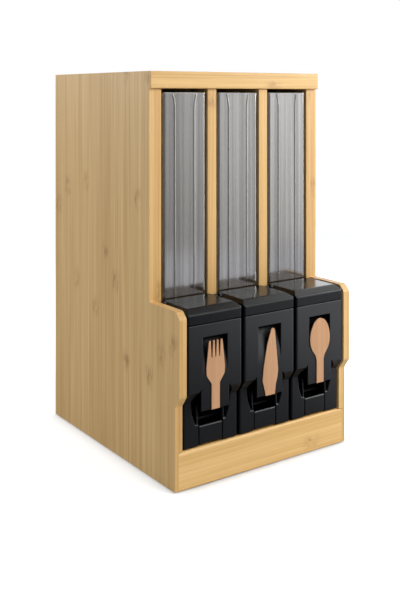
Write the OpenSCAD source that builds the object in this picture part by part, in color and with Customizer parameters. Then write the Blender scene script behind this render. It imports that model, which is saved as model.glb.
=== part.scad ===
// Countertop dispenser for flat wooden cutlery.
// A bamboo cabinet holds three side-by-side units.  Each unit has a tinted upright
// magazine, a black tray under it, a moulded front cover with a hinged lid, and a
// push lever whose toothed sector turns a rubber-faced feed roller.
// X runs across the front, Y towards the back, Z up.  The origin is the middle of
// the footprint, on the table.

/* [Cabinet] */
// Distance between the middles of neighbouring units
unit_pitch = 74; // [70:1:80]
// Thickness of the bamboo side panels
panel_t = 9; // [8:0.5:12]
// Thickness of the boards between the magazines
divider_t = 12; // [11:0.5:14]
// Height of the cabinet over its rubber pads
cab_h = 436; // [420:1:480]
// Depth of the cabinet, from the front of the lower bay to the back
cab_d = 286; // [280:1:320]
// Thickness of the back panel
back_t = 6; // [5:0.5:9]
// Thickness of the base board
base_t = 12; // [10:1:14]
// How far the rubber pads lift the bamboo
pad_t = 1; // [1:0.5:2]
// Radius of the rubber pads
pad_r = 9; // [7:1:11]

/* [Lower bay] */
// How far the lower bay stands in front of the uprights
bay_d = 58; // [57:0.5:64]
// Height of the step where the side panels drop forward
bay_h = 187.5; // [184:0.5:192]
// Bevel on the front top corner of the step
bay_bevel = 7; // [4:1:10]
// How far the cheeks of the bay stand in front of the base rail
bay_proud = 8; // [6:0.5:9]
// Height where the cheeks start to slope back to the base rail
knee_top_z = 100; // [98:1:104]
// Height where that slope ends
knee_foot_z = 89; // [87:1:92]
// Softening of the panel corners
corner_r = 5; // [2:1:6]
// Height of the base rail
rail_h = 41; // [38:1:42]
// Thickness of the base rail
rail_t = 9; // [8:0.5:10]

/* [Cabinet lid] */
// Height of the rail across the lid's front edge
lid_rail_h = 19.2; // [18:0.2:26]
// How far that rail stands in front of the uprights
lid_rail_proud = 4; // [2:0.5:6]
// Seam under the rail, over the uprights
lid_seam = 0.4; // [0.2:0.1:1]
// Depth of the rail's tongue between the side panels
lid_rail_t = 10; // [8:1:14]
// Thickness of the lid board
lid_t = 12; // [10:1:14]
// Side clearance of the lid between the panels
lid_gap = 0.5; // [0.3:0.1:1]
// Radius of the lid's pivot pins
lid_pin_r = 3; // [2:0.5:3.5]
// How far a lid pin reaches into the panel
lid_pin_seat = 5; // [3:0.5:6]
// How far a lid pin reaches into the lid
lid_pin_reach = 15; // [10:1:20]
// Gap between the lid's round rear edge and the back panel
lid_heel_gap = 0.9; // [0.7:0.1:1.5]
// Height of the cleats under the lid board
cleat_h = 8; // [6:1:9]

/* [Unit cover] */
// Gap between neighbouring covers
unit_gap = 3.5; // [3:0.5:5]
// Wall of the cover
cover_t = 2.5; // [2:0.1:3]
// How far the cover's lower face lies behind the base rail's face
cover_set = 1.3; // [1:0.1:1.8]
// Height of the cover's bottom edge
cover_foot_z = 42.5; // [42.5:0.1:43]
// Height of the cover's top rim
cover_rim_z = 171; // [169:0.5:173]
// Gap between the cover and the uprights behind it
cover_back_gap = 3; // [2:0.5:4]
// Width of the sunk window behind each utensil
window_w = 32; // [31:0.5:33]
// Height of the window's top edge
window_top_z = 157.5; // [156.5:0.5:160]
// Height where the window's floor runs out to the face
window_foot_z = 116; // [114:1:118]
// Depth of the window at its top
window_depth = 9; // [6:0.5:11]
// Width of the plate that hangs over the mouth
plate_w = 36; // [35:0.5:38]
// Height of that plate's lower lip
lip_z = 81; // [79:0.5:83]
// Width of the finger scoop where it is widest
scoop_w = 51.6; // [50:0.2:53]
// Width of the finger scoop at its foot
scoop_foot_w = 40; // [36:1:44]
// Depth of the finger scoop
scoop_depth = 8; // [6:0.5:8.5]
// Height of the scoop's top edge, behind the plate
scoop_top_z = 103.5; // [102:0.5:105]
// Height of the mouth's bottom edge
mouth_foot_z = 63; // [62.9:0.1:64]
// Height of the mouth's top edge, behind the lip
mouth_top_z = 96; // [92:0.5:97]

/* [Unit lid] */
// Height of the unit lid over the table
unit_lid_z = 188; // [187:0.5:190]
// Wall of the unit lid
unit_lid_t = 2.2; // [1.8:0.1:2.6]
// Depth of the bevel along its front
unit_lid_bevel = 9; // [6:0.5:12]
// Width of the bevels along its sides
unit_lid_shoulder_w = 5; // [4:0.5:6]
// Height of those bevels
unit_lid_shoulder_h = 4.2; // [3:0.2:5]
// Height of its upright front strip
unit_lid_face_h = 11.5; // [9:0.5:12.5]
// Slit under the ends of that strip
unit_lid_slit = 1; // [0.5:0.1:1.2]
// Radius of the hinge knuckles
knuckle_r = 3.5; // [3:0.1:3.8]
// Width of each fixed hinge ear
ear_w = 4; // [3.5:0.5:5]
// Radius of the hinge pin
hinge_pin_r = 1.5; // [1:0.1:1.7]
// How far the hinge pin sticks out at each end
pin_end = 0.9; // [0.4:0.1:1.2]

/* [Lever and feed] */
// Width of the lever flap
lever_w = 29.2; // [28:0.2:30]
// Slit on each side of the flap
lever_slit = 1.5; // [1:0.1:1.6]
// Thickness of the flap
lever_t = 3; // [2.5:0.1:3.2]
// Radius of the lever's hub
lever_hub_r = 4; // [3.5:0.1:4.2]
// Radius of the lever's pin
lever_pin_r = 1.5; // [1:0.1:1.8]
// How far the lever's pin lies behind the flap's face
lever_pin_set = 6.7; // [6.5:0.1:7]
// Height of the lever's pin and of the roller's shaft
drive_z = 46.5; // [46:0.1:47]
// Module of the gear teeth
gear_module = 1; // [0.97:0.01:1.03]
// Teeth on a full ring of the lever's sector
sector_teeth = 76; // [74:2:78]
// Teeth on the roller's pinion
pinion_teeth = 22; // [20:2:24]
// Thickness of the sector
sector_t = 4; // [3:0.5:4.5]
// Play between the flanks of the teeth
tooth_play = 0.24; // [0.2:0.02:0.3]
// Radius over the roller's rubber
roller_r = 21.5; // [21.3:0.1:21.6]
// Thickness of the roller's rubber
tyre_t = 3; // [2:0.5:4]
// Width of the roller's drum
roller_w = 26; // [20:1:27]
// Radius of the roller's shaft
shaft_r = 2; // [1.5:0.1:2.5]
// Angle that the rubber covers
tyre_angle = 145; // [120:5:150]

/* [Tray] */
// Wall of the tray
tray_t = 1.6; // [1.4:0.1:2]
// Gap between the tray and the dividers
tray_gap = 0.3; // [0.2:0.05:0.5]
// Height of the chute floor that the cutlery lies on
floor_z = 67; // [66.8:0.1:67.3]
// Thickness of the chute floor
floor_t = 2.2; // [1.8:0.1:2.2]
// Height of the collar round the magazine
collar_z = 110; // [100:1:112]
// Thickness of the ribs that locate the magazine
stop_t = 2; // [1.5:0.1:3]
// Width of the tray's feet
foot_w = 8; // [7:0.5:9]
// Width of the lane that the cutlery slides along
lane_w = 33.2; // [32:0.2:33.6]

/* [Magazine] */
// Outside length of the magazine, front to back
mag_l = 168; // [162:1:176]
// Wall of the magazine
mag_t = 2.2; // [1.8:0.1:2.6]
// Clearance between the magazine and the tray
mag_gap = 0.3; // [0.2:0.05:0.4]
// Gap between the magazine's rim and the cabinet lid's rail
mag_top_gap = 4; // [3:0.5:6]
// How far the magazine stands behind the uprights' faces
mag_set = 0.5; // [0.3:0.1:1]
// Height of the slot that lets one utensil out
gate_h = 3; // [2.6:0.1:3.4]
// Distance from the middle to each guide fin
fin_x = 13; // [12:0.5:15]
// Depth of the guide fins
fin_d = 22; // [16:1:28]
// Thickness of the guide fins
fin_t = 1.4; // [1.2:0.1:2]
// How far the fins stand out of the front wall as ribs
rib_d = 0.5; // [0.3:0.1:0.5]

/* [Display cutlery] */
// Thickness of the display cutlery
display_t = 1; // [0.8:0.1:1.5]
// Width of the handles
handle_w = 10.4; // [9:0.2:12]
// Width of the fork's head
fork_w = 24; // [22:0.5:26]
// Height of the tips of the tines
fork_top_z = 153; // [150:0.5:155]
// Width of the knife's blade
knife_w = 21.5; // [20:0.5:23]
// Height of the knife's tip
knife_top_z = 154; // [150:0.5:155]
// Width of the spoon's bowl
spoon_w = 30; // [28:0.2:31]
// Height of the top of the spoon
spoon_top_z = 154.5; // [150:0.5:155]

/* [Hidden] */
$fn = 48;

// Clearances that the pieces share
eps = 0.01;
fixed_fit = 0.02;      // a pin in the piece that holds it
running_fit = 0.05;    // a pin in the piece that turns on it
end_play = 0.3;        // a hub between two walls

// Planes of the cabinet
inner_w = 3 * unit_pitch;
cab_w = inner_w + 2 * panel_t;
y_bay = -cab_d / 2;
y_low = y_bay + bay_proud;
y_up = y_bay + bay_d;
y_back = cab_d / 2;
y_back_in = y_back - back_t;
base_z = pad_t + base_t;
lid_rail_z = cab_h - lid_rail_h;
post_w = divider_t / 2;
post_d = 20;
half_lap = panel_t / 2;
rail_round = 3;

// Cabinet lid
lid_axis_z = cab_h - lid_t / 2;
lid_axis_y = y_back_in - lid_t / 2 - lid_heel_gap;
cleat_w = 5;

// Unit cover
unit_w = unit_pitch - unit_gap;
face_y = y_bay + display_t;
low_face_y = y_low + cover_set;
cover_back_y = y_up - cover_back_gap;
low_in_y = low_face_y + cover_t;
knee_in_rise = 1.2;
slot_w = lever_w + 2 * lever_slit;
cover_corner_r = 2;

// Unit lid
hinge_z = unit_lid_z - knuckle_r;
hinge_y = cover_back_y - 8 + cover_back_gap / 3;
ear_x = unit_w / 2 - ear_w;

// Tray
bay_w = unit_pitch - divider_t;
tray_w = bay_w - 2 * tray_gap;
tray_in = tray_w - 2 * tray_t;
tray_front_y = low_in_y + 0.3;
chute_front_y = low_in_y + scoop_depth + 1.5;
mag_front_y = y_up + mag_set;
mag_back_y = mag_front_y + mag_l;
tray_back_y = mag_back_y + mag_gap + stop_t + 12;
boss_r = 4;
boss_t = 1;
hub_half = tray_in / 2 - boss_t - end_play;

// Drive
lever_y = low_face_y + lever_pin_set;
sector_r = gear_module * sector_teeth / 2;
pinion_r = gear_module * pinion_teeth / 2;
roller_y = lever_y + sector_r + pinion_r;
sector_x = lane_w / 2 + 2.2;
lever_top_z = mouth_foot_z - 0.2;
lever_foot_z = cover_foot_z + 1;
pressure_angle = 20;
drum_r = roller_r - tyre_t;

// Magazine
mag_w = tray_in - 2 * mag_gap;
mag_top_z = lid_rail_z - mag_top_gap;
gate_w = lane_w + 1;

// Colours
bamboo = [0.84, 0.68, 0.45];
black = [0.16, 0.16, 0.17];
dark = [0.23, 0.23, 0.25];
smoke = [0.62, 0.64, 0.64, 0.55];
birch = [0.78, 0.60, 0.47];
steel = [0.72, 0.73, 0.75];
rubber = [0.08, 0.08, 0.08];

// Extrudes a YZ outline across X, and an XZ outline along Y
module across(x0, x1) {
    translate([x0, 0, 0]) rotate([90, 0, 90]) linear_extrude(x1 - x0) children();
}
module along(y0, y1) {
    translate([0, y1, 0]) rotate([90, 0, 0]) linear_extrude(y1 - y0) children();
}
module block(low, high) {
    translate(low) cube(high - low);
}
// A rod across X, about the axis at y, z
module rod(x0, x1, y, z, r) {
    translate([x0, y, z]) rotate([0, 90, 0]) cylinder(r = r, h = x1 - x0);
}
module in_unit(k) {
    translate([(k - 1) * unit_pitch, 0, 0]) children();
}

// An outline of [x, y, r] corners, each rounded to its own radius
function unit(v) = v / norm(v);
function turn(a) = a > 180 ? a - 360 : a < -180 ? a + 360 : a;
function arc_at(a, b, c, r, n) = let (
    u = unit(a - b), v = unit(c - b),
    half = acos(max(-1, min(1, u * v))) / 2,
    mid = b + unit(u + v) * r / sin(half),
    p = b + u * r / tan(half) - mid,
    q = b + v * r / tan(half) - mid,
    start = atan2(p.y, p.x),
    sweep = turn(atan2(q.y, q.x) - start)
) [for (i = [0:n]) mid + r * [cos(start + sweep * i / n), sin(start + sweep * i / n)]];
function xy(p) = [p.x, p.y];
function rounded(pts, n = 5) = [
    for (i = [0:len(pts) - 1]) let (
        m = len(pts), a = xy(pts[(i + m - 1) % m]), b = xy(pts[i]), c = xy(pts[(i + 1) % m])
    ) each (pts[i].z > 0 ? arc_at(a, b, c, pts[i].z, n) : [b])
];

// ---- Bamboo cabinet ----

module panel_outline() {
    polygon(rounded([
        [y_back, pad_t, 1], [y_back, cab_h, 1.5], [y_up, cab_h, 1],
        [y_up, bay_h, 1], [y_bay + bay_bevel, bay_h, corner_r],
        [y_bay, bay_h - bay_bevel, corner_r], [y_bay, knee_top_z, corner_r],
        [y_low, knee_foot_z, corner_r], [y_low, pad_t, 1]
    ]));
}
module side_panel(side) {
    inner = inner_w / 2;
    color(bamboo) mirror([side < 0 ? 1 : 0, 0, 0]) difference() {
        across(inner, inner + panel_t) panel_outline();
        block([inner - eps, y_low - 1, pad_t - 1], [inner + half_lap, y_low + rail_t, rail_h]);
        rod(inner - eps, inner + lid_pin_seat + 0.2, lid_axis_y, lid_axis_z,
            lid_pin_r + fixed_fit);
    }
}
module back_panel() {
    color(bamboo) block([-inner_w / 2, y_back_in, pad_t], [inner_w / 2, y_back, cab_h]);
}

screw_r = 2;
screw_head_r = 4;
screw_l = 30;
screw_ys = [y_up + 30, y_back_in - 30];
module at_base_screws() {
    for (x = [-unit_pitch / 2, unit_pitch / 2], y = screw_ys) translate([x, y, pad_t]) children();
}
module screw_hole() {
    translate([0, 0, -eps]) cylinder(r1 = screw_head_r + fixed_fit, r2 = screw_r + fixed_fit, h = 2.5);
    translate([0, 0, -eps]) cylinder(r = screw_r + fixed_fit, h = screw_l + 0.3);
}
tray_screw_r = 1.5;
tray_screw_l = 9;
tray_screw_ys = [y_up + 40, tray_back_y - 18];
module at_tray_screws() {
    for (k = [0:2], side = [-1, 1], y = tray_screw_ys)
        in_unit(k) translate([side * (tray_in / 2 - foot_w / 2), y, base_z]) children();
}
module base_board() {
    color(bamboo) difference() {
        block([-inner_w / 2, y_low + rail_t, pad_t], [inner_w / 2, y_back_in, base_z]);
        at_base_screws() screw_hole();
        at_tray_screws() translate([0, 0, -tray_screw_l])
            cylinder(r = tray_screw_r + fixed_fit, h = tray_screw_l + 1);
    }
}
module base_front_rail() {
    half = inner_w / 2 + half_lap;
    color(bamboo) across(-half, half) polygon(rounded([
        [y_low + rail_t, pad_t, 0], [y_low + rail_t, rail_h, 1],
        [y_low, rail_h, rail_round], [y_low, pad_t, 0.8]
    ]));
}
module divider(side) {
    x = side * unit_pitch / 2;
    color(bamboo) difference() {
        block([x - divider_t / 2, y_up, base_z], [x + divider_t / 2, y_back_in, lid_rail_z]);
        at_base_screws() screw_hole();
    }
}
module front_post(side) {
    color(bamboo) mirror([side < 0 ? 1 : 0, 0, 0])
        block([inner_w / 2 - post_w, y_up, base_z], [inner_w / 2, y_up + post_d, lid_rail_z]);
}
module base_screws() {
    color(steel) at_base_screws() {
        cylinder(r1 = screw_head_r, r2 = screw_r, h = 2.5 - 2 * eps);
        cylinder(r = screw_r, h = screw_l);
    }
}
module tray_screws() {
    color(steel) at_tray_screws() {
        translate([0, 0, foot_t]) cylinder(r = 2.8, h = 1.8);
        translate([0, 0, 0.5 - tray_screw_l]) cylinder(r = tray_screw_r, h = tray_screw_l + foot_t);
    }
}
module rubber_pads() {
    x = inner_w / 2 - 13;
    color(rubber) for (sx = [-1, 1], y = [y_low + rail_t + 15, y_back_in - 15])
        translate([sx * x, y, 0]) cylinder(r = pad_r, h = pad_t);
}

// ---- Cabinet lid ----

module lid_board() {
    half = inner_w / 2 - lid_gap;
    color(bamboo) difference() {
        union() {
            block([-half, y_up + lid_rail_t, cab_h - lid_t], [half, lid_axis_y, cab_h]);
            rod(-half, half, lid_axis_y, lid_axis_z, lid_t / 2);
        }
        for (side = [0, 1]) mirror([side, 0, 0])
            rod(half - lid_pin_reach - 0.3, half + 1, lid_axis_y, lid_axis_z,
                lid_pin_r + running_fit);
    }
}
module lid_front_rail() {
    half = inner_w / 2 - lid_gap;
    color(bamboo) union() {
        across(-cab_w / 2, cab_w / 2) polygon(rounded([
            [y_up, lid_rail_z + lid_seam, 0], [y_up, cab_h, 0],
            [y_up - lid_rail_proud, cab_h, 1.2], [y_up - lid_rail_proud, lid_rail_z + lid_seam, 1]
        ], 4));
        block([-half, y_up - eps, lid_rail_z + lid_seam], [half, y_up + lid_rail_t, cab_h]);
    }
}
module lid_pivot_pins() {
    half = inner_w / 2;
    color(steel) for (side = [0, 1]) mirror([side, 0, 0])
        rod(half - lid_gap - lid_pin_reach, half + lid_pin_seat, lid_axis_y, lid_axis_z, lid_pin_r);
}
module lid_rest_cleats() {
    top = cab_h - lid_t;
    color(bamboo) for (side = [0, 1]) mirror([side, 0, 0])
        block([inner_w / 2 - cleat_w, y_up + post_d + 5, top - cleat_h],
              [inner_w / 2, lid_axis_y - 15, top]);
}

// ---- Tray under each magazine ----

foot_t = 2.5;
tray_nose_z = mouth_foot_z - 1;
ledge_w = 1.4;
// Side of the tray, notched over the base rail and cut back behind the scoop
module tray_side() {
    back_of_rail = y_low + rail_t + 0.5;
    polygon([
        [back_of_rail, base_z], [tray_back_y, base_z], [tray_back_y, collar_z],
        [chute_front_y + 1.5, collar_z], [chute_front_y + 1.5, tray_nose_z + 10],
        [tray_front_y, tray_nose_z], [tray_front_y, rail_h + 1], [back_of_rail, rail_h + 1]
    ]);
}
module tray_walls() {
    for (side = [0, 1]) mirror([side, 0, 0]) {
        across(tray_in / 2, tray_w / 2) tray_side();
        // foot along the base board, behind the drive
        block([tray_in / 2 - foot_w, roller_y + roller_r + 1.5, base_z], [tray_in / 2 + eps, tray_back_y, base_z + foot_t]);
        // bosses for the lever's pin and the roller's shaft
        for (y = [lever_y, roller_y])
            rod(tray_in / 2 - boss_t, tray_in / 2 + eps, y, drive_z, boss_r);
        // ledge under the chute
        block([tray_in / 2 - ledge_w, lever_y + 8, floor_z - floor_t - ledge_w],
              [tray_in / 2 + eps, tray_back_y, floor_z - floor_t]);
        // upright ribs that locate the magazine
        for (y = [mag_front_y - mag_gap - stop_t, mag_back_y + mag_gap])
            block([gate_w / 2 + 9, y, floor_z], [tray_in / 2 + eps, y + stop_t, collar_z]);
    }
}
module sector_slot() {
    reach = sector_r + 1.6;
    rise = floor_z - floor_t - drive_z;
    block([sector_x - 0.6, chute_front_y + 2, floor_z - floor_t - 1],
          [sector_x + sector_t + 0.6, lever_y + sqrt(reach * reach - rise * rise) + 0.5, floor_z + 1]);
}
module roller_slot() {
    rise = floor_z - floor_t - drive_z;
    chord = sqrt(roller_r * roller_r - rise * rise) + 0.8;
    block([-roller_w / 2 - 0.8, roller_y - chord, floor_z - floor_t - 1],
          [roller_w / 2 + 0.8, roller_y + chord, floor_z + 1]);
}
module tray(k) {
    color(black) in_unit(k) difference() {
        union() {
            tray_walls();
            // rear wall
            block([-tray_in / 2 - eps, tray_back_y - tray_t, base_z], [tray_in / 2 + eps, tray_back_y, collar_z]);
            // peg that the lever's spring pushes on
            rod(-tray_in / 2 - eps, coil_x + 0.8, lever_y + spring_peg.x, drive_z + spring_peg.y, peg_r);
        }
        rod(-tray_w, tray_w, lever_y, drive_z, lever_pin_r + fixed_fit);
        rod(-tray_w, tray_w, roller_y, drive_z, shaft_r + fixed_fit);
        at_unit_tray_holes();
    }
}
// Floor that the cutlery lies on, with slots for the sector and the roller
module chute(k) {
    color(dark) in_unit(k) difference() {
        block([-tray_in / 2, chute_front_y, floor_z - floor_t], [tray_in / 2, tray_back_y - tray_t, floor_z]);
        sector_slot();
        roller_slot();
    }
}
// Rails that keep the utensil in the middle of the chute
module lane_rails(k) {
    color(black) in_unit(k) for (side = [0, 1]) mirror([side, 0, 0])
        across(lane_w / 2, lane_w / 2 + 1) polygon([
            [chute_front_y + 1, floor_z], [mag_front_y - 6, floor_z],
            [mag_front_y - 6, floor_z + 9], [chute_front_y + 5, floor_z + 9], [chute_front_y + 1, floor_z + 5]
        ]);
}
module at_unit_tray_holes() {
    for (side = [-1, 1], y = tray_screw_ys)
        translate([side * (tray_in / 2 - foot_w / 2), y, base_z - 1])
            cylinder(r = tray_screw_r + fixed_fit, h = foot_t + 2);
}

// ---- Moulded front cover ----

// Side view of the cover, moved back by t and with its knee moved up
module cover_side(t, rim, foot) {
    rise = t > 0 ? knee_in_rise : 0;
    polygon([
        [face_y + t, rim], [face_y + t, knee_top_z + 1 + rise], [low_face_y + t, knee_foot_z + 1 + rise],
        [low_face_y + t, foot], [cover_back_y + (t > 0 ? 1 : 0), foot], [cover_back_y + (t > 0 ? 1 : 0), rim]
    ]);
}
// Plan of the unit, w wide from y0 to y1, with rounded front corners
module unit_plan(w, y0, y1, r) {
    polygon(rounded([[-w / 2, y1, 0], [-w / 2, y0, r], [w / 2, y0, r], [w / 2, y1, 0]], 4));
}
module cover_body() {
    intersection() {
        across(-unit_w / 2, unit_w / 2) cover_side(0, cover_rim_z, cover_foot_z);
        union() {
            translate([0, 0, knee_foot_z + 1])
                linear_extrude(cover_rim_z) unit_plan(unit_w, face_y, cover_back_y, cover_corner_r);
            linear_extrude(knee_foot_z + 1 + eps) unit_plan(unit_w, low_face_y, cover_back_y, cover_corner_r);
        }
    }
}
// A ramp cut into the face: full depth at the top, flush at the foot
module window_ramp(y, depth, w, top, foot) {
    across(-w / 2, w / 2) polygon([[y - 1, top], [y + depth, top], [y, foot], [y - 1, foot]]);
}
// The window itself: its floor bends back in an arc, flush at the foot and deepest at the top
module window_cut() {
    rise = window_top_z - window_foot_z;
    r = (rise * rise + window_depth * window_depth) / 2 / window_depth;
    difference() {
        block([-window_w / 2, face_y - 1, window_foot_z], [window_w / 2, face_y + window_depth, window_top_z]);
        rod(-window_w, window_w, face_y + r, window_foot_z, r, $fn = 360);
    }
}
// The scoop round the mouth: steep walls, an arched top behind the plate, and a narrow foot
function scoop_outline(inset, foot) = let (
    w = scoop_w / 2 - inset, top = scoop_top_z - inset, plate = plate_w / 2 - inset
) [
    [scoop_foot_w / 2 - inset, foot], [w - 1.3, foot + 13 * (scoop_top_z - foot) / 40], [w, scoop_top_z - 13.5],
    [w - 0.6, scoop_top_z - 8], [plate, top],
    [-plate, top], [-w + 0.6, scoop_top_z - 8], [-w, scoop_top_z - 13.5],
    [-w + 1.3, foot + 13 * (scoop_top_z - foot) / 40], [-scoop_foot_w / 2 + inset, foot]
];
module scoop(grow) {
    y = low_face_y;
    hull() {
        along(face_y - 1, y + (grow > 0 ? 1 : 0)) polygon(scoop_outline(-grow, mouth_foot_z + 1 - grow));
        along(y + scoop_depth + grow - 0.1, y + scoop_depth + grow)
            polygon(scoop_outline(1.5 - grow, mouth_foot_z + 9 - grow));
    }
}
module front_cover(k) {
    color(black) in_unit(k) difference() {
        union() {
            difference() {
                cover_body();
                across(cover_t - unit_w / 2, unit_w / 2 - cover_t) cover_side(cover_t, cover_rim_z + 1, cover_foot_z - 1);
            }
            // pockets behind the window and the scoop
            intersection() {
                cover_body();
                union() {
                    window_ramp(face_y, window_depth + cover_t, window_w + 2 * cover_t,
                                window_top_z + cover_t, window_foot_z - 6);
                    scoop(cover_t);
                }
            }
            // plate with its lip over the mouth
            block([-plate_w / 2, face_y, lip_z], [plate_w / 2, face_y + cover_t, knee_top_z + 6]);
            // hinge ears
            for (side = [0, 1]) mirror([side, 0, 0]) {
                rod(ear_x, unit_w / 2, hinge_y, hinge_z, knuckle_r);
                block([ear_x, hinge_y - knuckle_r, cover_rim_z - 10], [unit_w / 2, hinge_y + knuckle_r, hinge_z]);
                // ribs that bear on the tray
                for (y = [tray_front_y + 10, cover_back_y - 8])
                    block([tray_w / 2, y, cover_foot_z + 4], [unit_w / 2 - cover_t + eps, y + 2, collar_z - 4]);
            }
        }
        window_cut();
        scoop_cut();
        // mouth, and the slot for the lever below it
        block([-slot_w / 2, low_face_y - 1, cover_foot_z - 1],
              [slot_w / 2, low_face_y + scoop_depth + cover_t + 1, mouth_top_z]);
        rod(-unit_w, unit_w, hinge_y, hinge_z, hinge_pin_r + fixed_fit);
    }
    color(black) in_unit(k) for (side = [0, 1]) mirror([side, 0, 0]) mouth_wall();
}
// Wall beside the mouth, with a round front edge that leans back a little
bead_r = 1.1;
module mouth_wall() {
    x = slot_w / 2 + bead_r - 0.2;
    front = low_face_y + bead_r + 0.2;
    top = lip_z + 4;
    lean = 1.5;
    across(x - bead_r, x + bead_r) polygon([
        [front, mouth_foot_z], [low_face_y + scoop_depth + 1, mouth_foot_z + 8],
        [low_face_y + scoop_depth + 1, top], [front + lean, top]
    ]);
    translate([x, front, mouth_foot_z]) rotate([-atan(lean / (top - mouth_foot_z)), 0, 0])
        cylinder(r = bead_r, h = top - mouth_foot_z);
    translate([x, front, mouth_foot_z]) sphere(r = bead_r);
}
// The scoop, kept off the plate that hangs in front of it
module scoop_cut() {
    difference() {
        scoop(0);
        block([-plate_w / 2, face_y - 1, lip_z], [plate_w / 2, face_y + cover_t, knee_top_z + 6]);
    }
}

// ---- Unit lid ----

module unit_lid_side(t, foot) {
    back = cover_back_y + (t > 0 ? 1 : 0);
    top = unit_lid_z - t;
    face_top = cover_rim_z + unit_lid_face_h;
    polygon(rounded([
        [back, foot, 0], [back, top, 0],
        [face_y + unit_lid_bevel + t / 2, top, 5], [face_y + t, face_top, 3], [face_y + t, foot, 0]
    ]));
}
// Front view of the lid with its bevelled shoulders, t inside the outer skin
module unit_lid_front(t) {
    w = unit_w / 2;
    s = unit_lid_shoulder_w;
    h = unit_lid_shoulder_h;
    skin = t * sqrt(1 / s / s + 1 / h / h);
    side_z = unit_lid_z - h * (1 + skin - t / s);
    top_x = w - s * (1 + skin - t / h);
    polygon([
        [t - w, cover_rim_z - 2], [w - t, cover_rim_z - 2], [w - t, side_z],
        [top_x, unit_lid_z - t], [-top_x, unit_lid_z - t], [t - w, side_z]
    ]);
}
module unit_lid(k) {
    tab_w = unit_w - 18;
    skirt_back = hinge_y - knuckle_r - 0.6;
    color(dark) in_unit(k) difference() {
        union() {
            intersection() {
                across(-unit_w / 2, unit_w / 2) unit_lid_side(0, cover_rim_z);
                difference() {
                    along(face_y - 1, cover_back_y + 1) unit_lid_front(0);
                    intersection() {
                        across(unit_lid_t - unit_w / 2, unit_w / 2 - unit_lid_t)
                            unit_lid_side(unit_lid_t, cover_rim_z - 1);
                        along(face_y, cover_back_y + 2) unit_lid_front(unit_lid_t);
                    }
                }
                translate([0, 0, cover_rim_z - 1])
                    linear_extrude(unit_lid_z) unit_plan(unit_w, face_y, cover_back_y, cover_corner_r);
            }
            rod(end_play - ear_x, ear_x - end_play, hinge_y, hinge_z, knuckle_r);
        }
        // slit under the ends of the front strip and under the sides
        for (side = [0, 1]) mirror([side, 0, 0])
            block([tab_w / 2, face_y - 1, cover_rim_z - 1], [unit_w, cover_back_y + 1, cover_rim_z + unit_lid_slit]);
        // bevel along the tab between the slits
        across(-unit_w / 2, unit_w / 2) polygon([
            [face_y - 1, cover_rim_z - 1], [face_y + unit_lid_slit, cover_rim_z - eps],
            [face_y - eps, cover_rim_z + unit_lid_slit], [face_y - 1, cover_rim_z + unit_lid_slit]
        ]);
        // room for the ears
        for (side = [0, 1]) mirror([side, 0, 0])
            block([ear_x - end_play, skirt_back, cover_rim_z - 1], [unit_w, cover_back_y + 1, unit_lid_z + 1]);
        rod(-unit_w, unit_w, hinge_y, hinge_z, hinge_pin_r + running_fit);
    }
}
module lid_hinge_pin(k) {
    color(steel) in_unit(k) rod(-unit_w / 2 - pin_end, unit_w / 2 + pin_end, hinge_y, hinge_z, hinge_pin_r);
}

// ---- Gear teeth ----

function involute(a) = tan(a) * 180 / PI - a;
// Half the angle of a tooth at radius r
function tooth_half(r, teeth) = let (
    pitch_r = gear_module * teeth / 2,
    base_r = pitch_r * cos(pressure_angle),
    play = tooth_play / 4 / pitch_r * 180 / PI
) 90 / teeth - play + involute(pressure_angle) - involute(acos(min(1, base_r / r)));
function tooth(teeth, mid) = let (
    pitch_r = gear_module * teeth / 2,
    root = pitch_r - 1.25 * gear_module,
    tip = pitch_r + gear_module,
    rs = [for (i = [0:4]) let (low = max(root + 0.2, pitch_r * cos(pressure_angle))) low + (tip - low) * i / 4],
    up = [for (r = rs) [r, -tooth_half(r, teeth)]],
    down = [for (i = [4:-1:0]) [rs[i], tooth_half(rs[i], teeth)]],
    outline = concat([[root, -tooth_half(rs[0], teeth)]], up, down, [[root, tooth_half(rs[0], teeth)]])
) [for (p = outline) p[0] * [cos(mid + p[1]), sin(mid + p[1])]];
function ring(teeth, from, to, phase) = [
    for (i = [from:to]) each tooth(teeth, phase + i * 360 / teeth)
];

// ---- Push lever ----

sector_from = -2;
sector_to = 11;
module lever(k) {
    hub_x = hub_half;
    color(black) in_unit(k) difference() {
        union() {
            // flap with a rolled top edge
            across(-lever_w / 2, lever_w / 2) polygon(rounded([
                [low_face_y, lever_foot_z, 0.6], [low_face_y + lever_t, lever_foot_z, 0],
                [low_face_y + lever_t, lever_top_z, 1.2], [low_face_y, lever_top_z, 1.6]
            ]));
            // web from the flap to the hub
            across(-lever_w / 2 + 2, lever_w / 2 - 2) polygon([
                [low_face_y + lever_t - 0.5, lever_foot_z + 0.5], [lever_y, drive_z - lever_hub_r + 0.4],
                [lever_y, drive_z + lever_hub_r - 0.4], [low_face_y + lever_t - 0.5, drive_z + 11]
            ]);
            rod(spring_arm_x, hub_x, lever_y, drive_z, lever_hub_r);
            rod(-hub_x, spring_arm_x + eps, lever_y, drive_z, neck_r);
            translate([0, lever_y, drive_z]) {
                across(sector_x, sector_x + sector_t)
                    polygon(concat([[-1, -1], [1, -2]], ring(sector_teeth, sector_from, sector_to, 0), [[-2, 2]]));
                // arm that the spring lifts
                across(spring_arm_x, spring_arm_x + 2) rotate(arm_angle)
                    polygon([[0, -1], [12, -1], [12, 1], [0, 2]]);
            }
        }
        rod(-unit_w, unit_w, lever_y, drive_z, lever_pin_r + running_fit);
        // lightening hole in the sector
        translate([0, lever_y, drive_z]) rotate([21.5, 0, 0]) rod(sector_x - 1, sector_x + sector_t + 1, 23, 0, 7);
    }
}
module lever_pin(k) {
    color(steel) in_unit(k) rod(-tray_w / 2, tray_w / 2, lever_y, drive_z, lever_pin_r);
}

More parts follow.
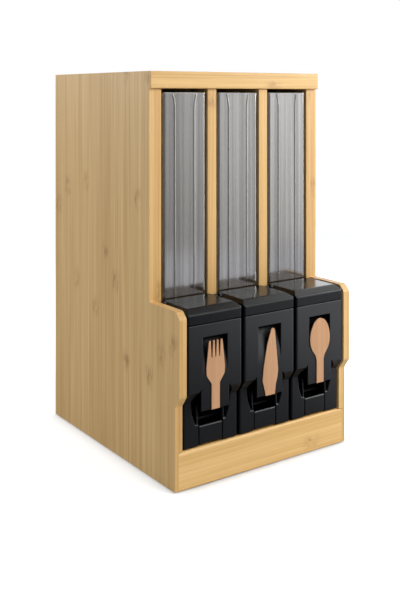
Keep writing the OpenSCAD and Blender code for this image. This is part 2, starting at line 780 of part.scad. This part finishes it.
// ---- Return spring: one wire, coiled round the hub's neck, with two legs ----

wire_r = 0.4;
neck_r = 2.6;
coil_r = neck_r + 0.25 + wire_r;
coil_pitch = 1.3;
peg_r = 1.4;
peg_leg_angle = -24;
arm_angle = 60;
arm_leg_angle = 70.5;
spring_arm_x = -20;
coil_sweep = arm_leg_angle - peg_leg_angle - 180 + 360 * 5;
coil_steps = round(coil_sweep / 45);
coil_x = spring_arm_x - 0.6 - coil_pitch * coil_sweep / 360;
// A point at s along a direction and off to its left
function beside(angle, s, off) = [s * cos(angle) - off * sin(angle), s * sin(angle) + off * cos(angle)];
spring_peg = beside(peg_leg_angle, 9, coil_r - wire_r - peg_r - 0.05);
function coil_point(i) = let (a = peg_leg_angle + 90 + coil_sweep * i / coil_steps)
    [coil_x + coil_pitch * coil_sweep / 360 * i / coil_steps, coil_r * cos(a), coil_r * sin(a)];
spring_path = concat(
    [concat([coil_x - 0.5], beside(peg_leg_angle, 11, coil_r)),
     concat([coil_x - 0.4], beside(peg_leg_angle, 2, coil_r))],
    [for (i = [0:coil_steps]) coil_point(i)],
    [concat([spring_arm_x - 0.5], beside(arm_leg_angle, 2.4, -coil_r)),
     concat([spring_arm_x + 0.5], beside(arm_leg_angle, 6, -coil_r)),
     concat([spring_arm_x + 1], beside(arm_leg_angle, 9.5, -coil_r))]
);
// Sweeps a round wire along the path, with its sections turned about X
module wire(path, r, sides = 6) {
    n = len(path);
    function tangent(i) = unit(path[min(i + 1, n - 1)] - path[max(i - 1, 0)]);
    rings = [for (i = [0:n - 1]) let (t = tangent(i), u = unit(cross(t, [1, 0, 0])), v = cross(u, t))
        for (s = [0:sides - 1]) path[i] + r * (cos(360 * s / sides) * u + sin(360 * s / sides) * v)];
    polyhedron(rings, concat(
        [[for (s = [0:sides - 1]) s]],
        [for (i = [0:n - 2], s = [0:sides - 1]) let (a = i * sides + s, b = i * sides + (s + 1) % sides)
            each [[a, a + sides, b], [b, a + sides, b + sides]]],
        [[for (s = [sides - 1:-1:0]) (n - 1) * sides + s]]
    ));
}
module lever_spring(k) {
    color(steel) in_unit(k) translate([0, lever_y, drive_z]) wire(spring_path, wire_r);
}

// ---- Feed roller ----

tyre_start = 72 - tyre_angle;
module feed_roller(k) {
    color(dark) in_unit(k) difference() {
        union() {
            rod(-hub_half, hub_half, roller_y, drive_z, 5);
            rod(-roller_w / 2, roller_w / 2, roller_y, drive_z, drum_r);
            translate([0, roller_y, drive_z]) across(sector_x - 0.4, sector_x + sector_t + 0.4)
                polygon(ring(pinion_teeth, 0, pinion_teeth - 1, 180 / pinion_teeth));
        }
        rod(-unit_w, unit_w, roller_y, drive_z, shaft_r + running_fit);
    }
}
module roller_tyre(k) {
    color(rubber) in_unit(k) translate([-roller_w / 2, roller_y, drive_z])
        rotate([90, 0, 90]) rotate([0, 0, tyre_start]) rotate_extrude(angle = tyre_angle)
            translate([drum_r, 0]) square([tyre_t, roller_w]);
}
module roller_shaft(k) {
    color(steel) in_unit(k) rod(-tray_w / 2, tray_w / 2, roller_y, drive_z, shaft_r);
}

// ---- Magazine ----

module mag_plan(inset) {
    polygon(rounded([
        [-mag_w / 2 + inset, mag_front_y + inset, 3 - inset], [mag_w / 2 - inset, mag_front_y + inset, 3 - inset],
        [mag_w / 2 - inset, mag_back_y - inset, 3 - inset], [-mag_w / 2 + inset, mag_back_y - inset, 3 - inset]
    ], 4));
}
module magazine(k) {
    fin_foot = floor_z + gate_h;
    fin_top = mag_top_z - 2;
    flare_z = fin_top - 13;
    flare = 2.4;
    color(smoke) in_unit(k) difference() {
        union() {
            difference() {
                translate([0, 0, floor_z]) linear_extrude(mag_top_z - floor_z) mag_plan(0);
                translate([0, 0, floor_z - 1]) linear_extrude(mag_top_z) mag_plan(mag_t);
            }
            // guide fins, flared at the top, that end outside as slim ribs
            for (side = [0, 1]) mirror([side, 0, 0])
                along(mag_front_y - rib_d, mag_front_y + mag_t + fin_d) polygon([
                    [fin_x - fin_t / 2, fin_foot], [fin_x + fin_t / 2, fin_foot],
                    [fin_x + fin_t / 2, flare_z], [fin_x + fin_t / 2 + flare * 0.35, flare_z + 7],
                    [fin_x + fin_t / 2 + flare, fin_top], [fin_x - fin_t / 2 + flare, fin_top],
                    [fin_x - fin_t / 2 + flare * 0.35, flare_z + 7], [fin_x - fin_t / 2, flare_z]
                ]);
        }
        block([-gate_w / 2, mag_front_y - 1, floor_z - 1], [gate_w / 2, mag_front_y + mag_t + 1, fin_foot]);
    }
}

// ---- Display cutlery, cut off at the lip ----

module display(k) {
    color(birch) in_unit(k) along(y_bay, face_y) children();
}
module fork_outline() {
    half = fork_w / 2;
    h = fork_top_z - lip_z;
    difference() {
        polygon(rounded([
            [-0.72 * half, fork_top_z, 0.8], [0.72 * half, fork_top_z, 0.8],
            [half, lip_z + 0.6 * h, 9], [0.97 * half, lip_z + 0.5 * h, 6], [handle_w / 2, lip_z + 0.375 * h, 5],
            [handle_w / 2, lip_z, 0], [-handle_w / 2, lip_z, 0],
            [-handle_w / 2, lip_z + 0.375 * h, 5], [-0.97 * half, lip_z + 0.5 * h, 6], [-half, lip_z + 0.6 * h, 9]
        ]));
        for (i = [-1:1]) polygon(rounded([
            [i * tine_pitch - tine_gap, fork_top_z + 2, 0], [i * tine_pitch + tine_gap, fork_top_z + 2, 0],
            [i * tine_pitch + 0.6, fork_top_z - tine_l, 0.6], [i * tine_pitch - 0.6, fork_top_z - tine_l, 0.6]
        ], 3));
    }
}
tine_gap = 0.072 * fork_w;
tine_pitch = 0.206 * fork_w;
tine_l = 0.25 * (fork_top_z - lip_z);
module knife_outline() {
    teeth = 26;
    half = knife_w / 2;
    h = knife_top_z - lip_z;
    shank = handle_w / 2 + 1.4;
    // the serrated edge, from the tip to the heel, as shares of the half width and of the height
    curve = [[0.1, 0.97], [-0.13, 0.88], [-0.4, 0.76], [-0.68, 0.58], [-0.89, 0.4], [-1, 0.24]];
    function on_curve(s) = let (i = min(4, floor(s * 5)), t = s * 5 - i) curve[i] * (1 - t) + curve[i + 1] * t;
    edge = [for (i = [0:2 * teeth]) let (p = on_curve(i / (2 * teeth)))
        [p.x * half + (i % 2 == 0 ? 0 : 0.5), lip_z + p.y * h]];
    back = [[0.72, 0.14], [0.92, 0.24], [1.03, 0.33], [1.04, 0.37], [0.88, 0.59], [0.73, 0.8], [0.61, 0.96],
            [0.52, 0.99], [0.36, 1], [0.2, 0.99]];
    polygon(concat(
        [[shank, lip_z]], [for (p = back) [p.x * half, lip_z + p.y * h]],
        edge, [[-0.8 * half, lip_z + 0.14 * h], [-shank, lip_z + 0.02 * h], [-shank, lip_z]]
    ));
}
module spoon_outline() {
    half = spoon_w / 2;
    h = spoon_top_z - lip_z;
    bowl_z = lip_z + 0.68 * h;
    // the upper half of the bowl is taller than the lower half
    bowl = [for (a = [-50:10:230])
        [half * cos(a), bowl_z + (a > 0 && a < 180 ? 0.32 : 0.26) * h * sin(a)]];
    neck = [[0.46 * half, lip_z + 0.43 * h], [handle_w / 2, lip_z + 0.355 * h], [handle_w / 2, lip_z]];
    polygon(concat(bowl, [for (i = [0:2]) [-neck[i].x, neck[i].y]], [for (i = [2:-1:0]) neck[i]]));
}
module display_fork() { display(0) fork_outline(); }
module display_knife() { display(1) knife_outline(); }
module display_spoon() { display(2) spoon_outline(); }

side_panel(-1);  // side_panel_left
side_panel(1);  // side_panel_right
back_panel();
base_board();
base_front_rail();
divider(-1);  // divider_left
divider(1);  // divider_right
front_post(-1);  // front_post_left
front_post(1);  // front_post_right
lid_board();
lid_front_rail();
lid_pivot_pins();
lid_rest_cleats();
rubber_pads();
base_screws();
tray_screws();
tray(0);  // tray_fork
tray(1);  // tray_knife
tray(2);  // tray_spoon
chute(0);  // chute_fork
chute(1);  // chute_knife
chute(2);  // chute_spoon
lane_rails(0);  // lane_rails_fork
lane_rails(1);  // lane_rails_knife
lane_rails(2);  // lane_rails_spoon
front_cover(0);  // front_cover_fork
front_cover(1);  // front_cover_knife
front_cover(2);  // front_cover_spoon
unit_lid(0);  // unit_lid_fork
unit_lid(1);  // unit_lid_knife
unit_lid(2);  // unit_lid_spoon
lid_hinge_pin(0);  // lid_hinge_pin_fork
lid_hinge_pin(1);  // lid_hinge_pin_knife
lid_hinge_pin(2);  // lid_hinge_pin_spoon
lever(0);  // lever_fork
lever(1);  // lever_knife
lever(2);  // lever_spoon
lever_pin(0);  // lever_pin_fork
lever_pin(1);  // lever_pin_knife
lever_pin(2);  // lever_pin_spoon
lever_spring(0);  // lever_spring_fork
lever_spring(1);  // lever_spring_knife
lever_spring(2);  // lever_spring_spoon
feed_roller(0);  // feed_roller_fork
feed_roller(1);  // feed_roller_knife
feed_roller(2);  // feed_roller_spoon
roller_tyre(0);  // roller_tyre_fork
roller_tyre(1);  // roller_tyre_knife
roller_tyre(2);  // roller_tyre_spoon
roller_shaft(0);  // roller_shaft_fork
roller_shaft(1);  // roller_shaft_knife
roller_shaft(2);  // roller_shaft_spoon
magazine(0);  // magazine_fork
magazine(1);  // magazine_knife
magazine(2);  // magazine_spoon
display_fork();
display_knife();
display_spoon();
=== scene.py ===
# %% [markdown]
# # A countertop cutlery dispenser
# The object is a bamboo cabinet with three black feeders and three tinted magazines.
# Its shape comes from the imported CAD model, so this script adds what the CAD leaves
# out: the finish of every piece, the room it stands in and the camera of the photo.

# %% Load the CAD model
import math
import bpy
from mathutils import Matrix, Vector

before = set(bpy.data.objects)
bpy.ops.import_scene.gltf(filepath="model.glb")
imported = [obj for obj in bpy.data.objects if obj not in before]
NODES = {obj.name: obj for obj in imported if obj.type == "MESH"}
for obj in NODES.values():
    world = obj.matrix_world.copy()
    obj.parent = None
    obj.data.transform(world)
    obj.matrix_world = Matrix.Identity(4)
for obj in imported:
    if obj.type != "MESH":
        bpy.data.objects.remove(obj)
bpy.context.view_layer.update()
UNITS = ("fork", "knife", "spoon")

# %% [markdown]
# ## Colours and node trees
# A colour picked on a screen is an sRGB value, but a shader works with linear light,
# so every colour passes through one conversion. One small function adds a shader node,
# sets its inputs and returns one of its outputs. That keeps each material readable.

# %% Colour conversion and node helpers
def linear(code):
    """Linear RGBA of an sRGB hex colour."""
    parts = [int(code[i:i + 2], 16) / 255 for i in (1, 3, 5)]
    return tuple(c / 12.92 if c < 0.04045 else ((c + 0.055) / 1.055) ** 2.4 for c in parts) + (1.0,)


def add(tree, kind, inputs=None, output=0, **settings):
    """Adds a node. Inputs that are sockets are linked, the others are set."""
    made = tree.nodes.new("ShaderNode" + kind)
    for key, value in settings.items():
        setattr(made, key, value)
    for key, value in (inputs or {}).items():
        if isinstance(value, bpy.types.NodeSocket):
            tree.links.new(value, made.inputs[key])
        else:
            made.inputs[key].default_value = value
    return made.outputs[output]


def math_node(tree, operation, a, b=0.0, c=0.0):
    """One arithmetic step on numbers or sockets."""
    return add(tree, "Math", {0: a, 1: b, 2: c}, operation=operation)


def remap(tree, value, low, high, to_low=0.0, to_high=1.0):
    """Maps a range smoothly to another range."""
    return add(tree, "MapRange", {"Value": value, "From Min": low, "From Max": high,
                                  "To Min": to_low, "To Max": to_high},
               interpolation_type="SMOOTHSTEP")


def mix(tree, factor, a, b, blend="MIX"):
    """Mixes two colours by a factor."""
    made = tree.nodes.new("ShaderNodeMix")
    made.data_type = "RGBA"
    made.blend_type = blend
    for index, value in ((0, factor), (6, a), (7, b)):
        if isinstance(value, bpy.types.NodeSocket):
            tree.links.new(value, made.inputs[index])
        else:
            made.inputs[index].default_value = value
    return made.outputs[2]


def new_material(name):
    """A material and its node tree, with a Principled shader to fill in."""
    material = bpy.data.materials.new(name)
    material.use_nodes = True
    return material, material.node_tree, material.node_tree.nodes["Principled BSDF"]


def plug(tree, shader, **inputs):
    """Sets or links the Principled sockets. Underscores stand for spaces."""
    for key, value in inputs.items():
        socket = shader.inputs[key.replace("_", " ")]
        if isinstance(value, bpy.types.NodeSocket):
            tree.links.new(value, socket)
        else:
            socket.default_value = value


WHITE = linear("#ffffff")
print("white in linear light:", WHITE[:3])

# %% [markdown]
# ## Bamboo
# Bamboo board is glued up from long strips. On the real panels each strip has its own
# tone, fine fibres run along it, and soft brown marks show where the cane had a node.
# The sawn edges of a board cut through the inner layers, which are warmer in colour.
# A photo texture would give the look of one board only, so this is built from
# coordinates instead. The same recipe then serves every board: it is told which axis
# the fibres follow and gets a seed of its own.

# %% Bamboo material
STRIP_W = 0.024         # width of a glued strip
MARKS_PER_METRE = 3.1   # cane nodes along a strip
INNER_CANE = (0.98, 0.9, 0.76, 1.0)     # what the warmer inner layers keep of each colour


def along_and_across(tree, grain):
    """Coordinates in metres: along the fibres, across them on the widest face, and the third one."""
    xyz = add(tree, "SeparateXYZ", {0: add(tree, "TexCoord", output=3)})
    x, y, z = xyz.node.outputs
    named = {"x": x, "y": y, "z": z}
    return [named[axis] for axis in grain]


def stretched_noise(tree, along, across, third, fineness, stretch, detail, seed):
    """Noise whose grains are long along the fibres. Fineness is in grains per metre."""
    vector = add(tree, "CombineXYZ", {
        0: math_node(tree, "MULTIPLY_ADD", across, fineness, seed),
        1: math_node(tree, "MULTIPLY", third, fineness),
        2: math_node(tree, "MULTIPLY", along, fineness / stretch)})
    return add(tree, "TexNoise", {"Vector": vector, "Scale": 1.0, "Detail": detail, "Roughness": 0.6})


def cane_marks(tree, along, strip, inside, seed):
    """Soft brown marks where the cane had a node: one in each strip at a height of its own."""
    shift = add(tree, "TexWhiteNoise", {"W": math_node(tree, "ADD", strip, seed)},
                noise_dimensions="1D")
    phase = math_node(tree, "MULTIPLY_ADD", along, MARKS_PER_METRE, shift)
    phase = math_node(tree, "SUBTRACT", math_node(tree, "FRACT", phase), 0.5)
    height = remap(tree, math_node(tree, "ABSOLUTE", phase), 0.055, 0.0)
    off_centre = math_node(tree, "ABSOLUTE", math_node(tree, "SUBTRACT", inside, 0.5))
    middle = remap(tree, off_centre, 0.48, 0.1)
    return math_node(tree, "MULTIPLY", height, middle)


def board_shade(tree, strip, broad, fibre, seed):
    """How light the cane is: a little by the strip, more by broad bands, most by the fibres."""
    tone = add(tree, "TexWhiteNoise", {"W": math_node(tree, "ADD", strip, seed + 0.5)},
               noise_dimensions="1D")
    shade = math_node(tree, "MULTIPLY_ADD", remap(tree, broad, 0.3, 0.7), 0.34,
                      math_node(tree, "MULTIPLY", tone, 0.2))
    return math_node(tree, "MULTIPLY_ADD", remap(tree, fibre, 0.3, 0.7), 0.46, shade)


def sawn_edge(tree, thin_axis):
    """1 on the sawn edges of a board, 0 on its two broad faces."""
    normal = add(tree, "SeparateXYZ", {0: add(tree, "TexCoord", output=1)}).node.outputs
    facing = math_node(tree, "ABSOLUTE", normal["xyz".index(thin_axis)])
    return remap(tree, facing, 0.8, 0.3)


def bamboo(name, grain, seed, light="#e8c58a", dark="#c3985c", mark=0.6):
    """Bamboo board. Grain names three axes: along the fibres, across them, and the thin one."""
    material, tree, shader = new_material(name)
    along, across, third = along_and_across(tree, grain)
    scaled = math_node(tree, "DIVIDE", across, STRIP_W)
    strip = math_node(tree, "FLOOR", scaled)
    inside = math_node(tree, "FRACT", scaled)
    broad = stretched_noise(tree, along, across, third, 100, 40, 3.0, seed)
    fibre = stretched_noise(tree, along, across, third, 520, 110, 4.0, seed + 7)
    colour = mix(tree, board_shade(tree, strip, broad, fibre, seed), linear(dark), linear(light))
    colour = mix(tree, sawn_edge(tree, grain[2]), colour, INNER_CANE, "MULTIPLY")
    # a blotchy edge keeps the marks from looking stamped
    blotches = stretched_noise(tree, along, across, third, 200, 3, 3.0, seed + 3)
    spots = math_node(tree, "MULTIPLY", cane_marks(tree, along, strip, inside, seed),
                      remap(tree, blotches, 0.35, 0.7))
    colour = mix(tree, math_node(tree, "MULTIPLY", spots, mark), colour, linear("#8f5f2c"))
    height = add(tree, "Bump", {"Strength": 0.12, "Distance": 0.0004, "Height": fibre})
    plug(tree, shader, Base_Color=colour, Roughness=0.48, Normal=height)
    return material


BAMBOO_NODES = {
    "side_panel_left": ("zyx", 3.0), "side_panel_right": ("zyx", 11.0), "back_panel": ("zxy", 23.0),
    "divider_left": ("zyx", 31.0), "divider_right": ("zyx", 37.0), "front_post_left": ("zyx", 41.0),
    "front_post_right": ("zyx", 43.0), "base_board": ("xyz", 53.0), "base_front_rail": ("xzy", 61.0),
    "lid_board": ("yxz", 71.0), "lid_front_rail": ("xzy", 83.0), "lid_rest_cleats": ("yxz", 89.0),
}


def dress(names, material):
    """Puts one material on the named CAD nodes."""
    for name in names:
        NODES[name].data.materials.clear()
        NODES[name].data.materials.append(material)


# the two cross rails at the front get their own, lighter and warmer pair of colours than the other boards
WARM_RAILS = {"base_front_rail": ("#f3cc8c", "#d1a25b"), "lid_front_rail": ("#ebc380", "#c59752")}
for board, (grain, seed) in BAMBOO_NODES.items():
    dress([board], bamboo("bamboo " + board.replace("_", " "), grain, seed, *WARM_RAILS.get(board, ())))
print("bamboo boards:", len(BAMBOO_NODES))

# %% [markdown]
# ## Black plastic
# The covers, lids and levers are moulded in black ABS with a satin skin. Black plastic
# shows its form only through reflections, so the roughness matters more than the
# colour. A real moulding has no razor edge either. The bevel node bends the shading
# normals along the edges, which draws the thin bright line that tells the eye "moulded",
# and it leaves the mesh as it is.
#
# The sunk window and the finger scoop look black in the photo, since they mirror black
# walls and not the room. A measure of how walled in a point is takes the shine away there.

# %% Plastic, steel and rubber materials
def moulded(name, colour, roughness, edge=0.0006, specular=0.5, grit=0.0, hollow=0.0):
    """A plastic with soft edges and, where asked, a fine moulded grain. Hollow is a reach in
    metres: places walled in closer than that mirror black walls, so they shine less."""
    material, tree, shader = new_material(name)
    if hollow:
        openness = add(tree, "AmbientOcclusion", {"Distance": hollow}, output=1, samples=8)
        specular = math_node(tree, "MULTIPLY", remap(tree, openness, 0.42, 0.99), specular)
    normal = add(tree, "Bevel", {"Radius": edge}, samples=6)
    if grit:
        noise = add(tree, "TexNoise", {"Vector": add(tree, "TexCoord", output=3),
                                       "Scale": 2600.0, "Detail": 2.0})
        normal = add(tree, "Bump", {"Strength": grit, "Distance": 0.0001, "Height": noise, "Normal": normal})
    plug(tree, shader, Base_Color=linear(colour), Roughness=roughness, Normal=normal,
         Specular_IOR_Level=specular)
    return material


def each(*stems):
    """The node names of these pieces in all three units."""
    return [stem + "_" + unit for stem in stems for unit in UNITS]


dress(each("front_cover", "lever"),
      moulded("black ABS, satin", "#0b0c0e", 0.34, edge=0.001, specular=0.43, grit=0.1, hollow=0.026))
dress(each("unit_lid"), moulded("black ABS, smooth", "#0b0c0e", 0.24, edge=0.0012, specular=0.17))
dress(each("tray", "chute", "lane_rails"),
      moulded("black ABS, fine grain", "#0a0a0c", 0.6, specular=0.15, grit=0.2))
dress(each("feed_roller"), moulded("grey acetal", "#3a3c40", 0.38))
dress(each("roller_tyre") + ["rubber_pads"],
      moulded("black rubber", "#141414", 0.85, edge=0.0003, specular=0.25))


def steel(name, roughness):
    """Bare or plated steel. The rougher it is, the duller it looks."""
    material, tree, shader = new_material(name)
    plug(tree, shader, Base_Color=linear("#c2c4c6"), Metallic=1.0, Roughness=roughness)
    return material


dress(each("lid_hinge_pin", "lever_pin", "roller_shaft") + ["lid_pivot_pins"], steel("turned steel", 0.22))
dress(["base_screws", "tray_screws"], steel("zinc plated steel", 0.35))
dress(each("lever_spring"), steel("spring wire", 0.28))
print("plastic, steel and rubber are set")

# %% [markdown]
# ## Smoke-tinted magazines
# The magazines are moulded in a grey tinted plastic, and their smooth skins mirror the
# white room, the wood beside them and the black lids in front. A line of sight meets
# several skins one behind the other, and each sends a little light back. One wall with
# a raised index of refraction returns as much as all of them together. The body under
# it is partly see-through, so the fins inside show as faint upright lines. Plastic that
# fills such a tall mould from one end can leave fine flow lines in the skin, so the
# index of refraction varies a little from line to line.

# %% Tinted plastic
def tinted(name, colour, see_through, index):
    """A clear plastic with a smoky tint and a strongly mirroring skin."""
    material, tree, shader = new_material(name)
    normal = add(tree, "Bevel", {"Radius": 0.001}, samples=6)
    x, y, z = add(tree, "SeparateXYZ", {0: add(tree, "TexCoord", output=3)}).node.outputs
    lines = stretched_noise(tree, z, x, y, 170, 120, 2.0, 5.0)
    flow = remap(tree, lines, 0.35, 0.65, 0.88 * index, 1.13 * index)
    plug(tree, shader, Base_Color=linear(colour), Roughness=0.12, IOR=flow, Alpha=see_through, Normal=normal)
    return material


dress(each("magazine"), tinted("smoke-tinted plastic", "#43382a", 0.66, 3.1))
print("magazines are tinted")

# %% [markdown]
# ## Display cutlery
# The fork, knife and spoon are pressed from thin birch. Seen up close they have a
# pinkish tan colour with faint fibres along the handle, and no lacquer.

# %% Birch
def birch(name, seed):
    """Plain birch with its fibres upright."""
    material, tree, shader = new_material(name)
    along, across, third = along_and_across(tree, "zxy")
    fibre = stretched_noise(tree, along, across, third, 900, 40, 3.0, seed)
    broad = stretched_noise(tree, along, across, third, 160, 25, 1.0, seed + 2)
    shade = math_node(tree, "MULTIPLY_ADD", remap(tree, fibre, 0.25, 0.75), 0.4,
                      math_node(tree, "MULTIPLY", remap(tree, broad, 0.3, 0.7), 0.6))
    plug(tree, shader, Base_Color=mix(tree, shade, linear("#ba8a61"), linear("#c8986f")), Roughness=0.65)
    return material


for seed, unit in enumerate(UNITS):
    dress(["display_" + unit], birch("birch " + unit, seed * 5.0))
print("display cutlery:", len(UNITS))

# %% [markdown]
# ## Room, light and camera
# The photo is a product shot on pure white, and its floor shows only a faint contact
# shadow. Three soft lights shape the object: a large one in front, one at the right and
# one behind on the left. A plain white world fills in between. The camera sees that
# world at full white, while the object gets much less of it, because an even light from
# all sides would flatten the boards.

# %% World and floor
FLOOR_W = 2.4
FLOOR_GAP = 0.0002      # keeps the floor clear of the rubber pads
SHADOW_REACH = 0.026    # how far the contact shadow spreads


def in_mirrors(tree, sideways, upward, dim, bright):
    """How bright the room looks in a mirror-like skin: brighter to the right, dimmer downwards."""
    across = remap(tree, sideways, 0.40, 0.85, dim, bright)
    return math_node(tree, "MULTIPLY", across, remap(tree, upward, -0.26, 0.03, 0.6, 1.0))


def white_world(seen, given, dim, bright):
    """A world that the camera sees at one strength and that lights the object evenly at another.
    Mirror-like skins see the strengths from dim to bright."""
    world = bpy.data.worlds.new("white room")
    bpy.context.scene.world = world
    world.use_nodes = True
    tree = world.node_tree
    x, y, z = add(tree, "SeparateXYZ", {0: add(tree, "TexCoord")}).node.outputs
    path = add(tree, "LightPath").node.outputs
    strength = add(tree, "Mix", {0: path["Is Glossy Ray"], 2: given, 3: in_mirrors(tree, x, z, dim, bright)})
    strength = add(tree, "Mix", {0: path["Is Camera Ray"], 2: strength, 3: seen})
    tree.links.new(strength, tree.nodes["Background"].inputs["Strength"])
    tree.nodes["Background"].inputs["Color"].default_value = WHITE


def pale_floor(glow, dim, bright):
    """A white floor. A faint glow lifts it to paper white for the camera, outside the contact
    shadow. In mirror-like skins it glows like the room, brighter to the right."""
    bpy.ops.mesh.primitive_plane_add(size=FLOOR_W, location=(0.0, 0.0, -FLOOR_GAP))
    floor = bpy.context.object
    floor.name = "floor"
    material, tree, shader = new_material("paper white floor")
    path = add(tree, "LightPath").node.outputs
    x, y, z = add(tree, "SeparateXYZ", {0: add(tree, "TexCoord", output=3)}).node.outputs
    # the contact shadow is deepest in front, and along the left side it is faint
    openness = add(tree, "AmbientOcclusion", {"Distance": SHADOW_REACH}, output=1, samples=8)
    least = remap(tree, x, -0.135, -0.09, 0.68 * glow, 0.05 * glow)
    lit = remap(tree, openness, 0.45, 0.95, least, glow)
    seen = math_node(tree, "MULTIPLY", path["Is Camera Ray"], lit)
    plug(tree, shader, Base_Color=linear("#e9eff6"), Roughness=0.9, Specular_IOR_Level=0.1,
         Emission_Color=WHITE, Emission_Strength=seen)
    mirrored = add(tree, "Emission", {"Color": linear("#f6f8ff"),
                                      "Strength": remap(tree, x, 0.12, 0.52, dim, bright)})
    both = add(tree, "MixShader", {0: path["Is Glossy Ray"], 1: shader.outputs[0], 2: mirrored})
    tree.links.new(both, tree.nodes["Material Output"].inputs["Surface"])
    floor.data.materials.append(material)
    return floor


white_world(seen=1.0, given=0.28, dim=0.4, bright=3.85)
pale_floor(glow=0.58, dim=0.16, bright=1.5)


def soft_light(name, place, aim, size, power):
    """A square soft light that points at aim. Place, aim and size are in metres."""
    data = bpy.data.lights.new(name, "AREA")
    data.shape = "RECTANGLE"
    data.size, data.size_y = size
    data.energy = power
    lamp = bpy.data.objects.new(name, data)
    bpy.context.scene.collection.objects.link(lamp)
    lamp.location = place
    lamp.rotation_euler = (Vector(aim) - Vector(place)).to_track_quat("-Z", "Y").to_euler()


soft_light("softbox front", (0.7, -1.5, 1.2), (0.0, -0.1, 0.2), (0.8, 0.8), 12.5)
soft_light("softbox right", (1.1, -0.7, 0.7), (0.0, -0.1, 0.2), (0.4, 0.6), 12.4)
soft_light("softbox left", (-1.0, 1.1, 0.9), (-0.12, 0.05, 0.25), (0.6, 0.8), 12.0)
print("world, floor and three soft lights")

# %% [markdown]
# The photo's upright edges stay parallel although the camera is near, so it was taken
# level, with the lens shifted down. A level camera with a vertical shift repeats that.

# %% Camera
def photo_camera(place, yaw, focal_px, shift_px, size_px):
    """A level camera. Yaw is in degrees from the +Y axis towards +X."""
    data = bpy.data.cameras.new("photo camera")
    data.lens = focal_px / max(size_px) * data.sensor_width
    data.shift_y = -shift_px / max(size_px)
    camera = bpy.data.objects.new("photo camera", data)
    bpy.context.scene.collection.objects.link(camera)
    camera.location = place
    camera.rotation_euler = (math.radians(90.0), 0.0, math.radians(-yaw))
    bpy.context.scene.camera = camera
    return camera


# fitted to the cabinet's edges in the photo
PHOTO_SIZE_PX = (400, 600)
FOCAL_PX = 884.4
LENS_SHIFT_PX = 204.5
CAMERA_PLACE = (-0.6214, -0.8926, 0.4095)
CAMERA_YAW = 35.11

photo_camera(CAMERA_PLACE, CAMERA_YAW, FOCAL_PX, LENS_SHIFT_PX, PHOTO_SIZE_PX)
bpy.context.scene.view_settings.view_transform = "Standard"
print("camera:", bpy.context.scene.camera.data.lens, "mm")
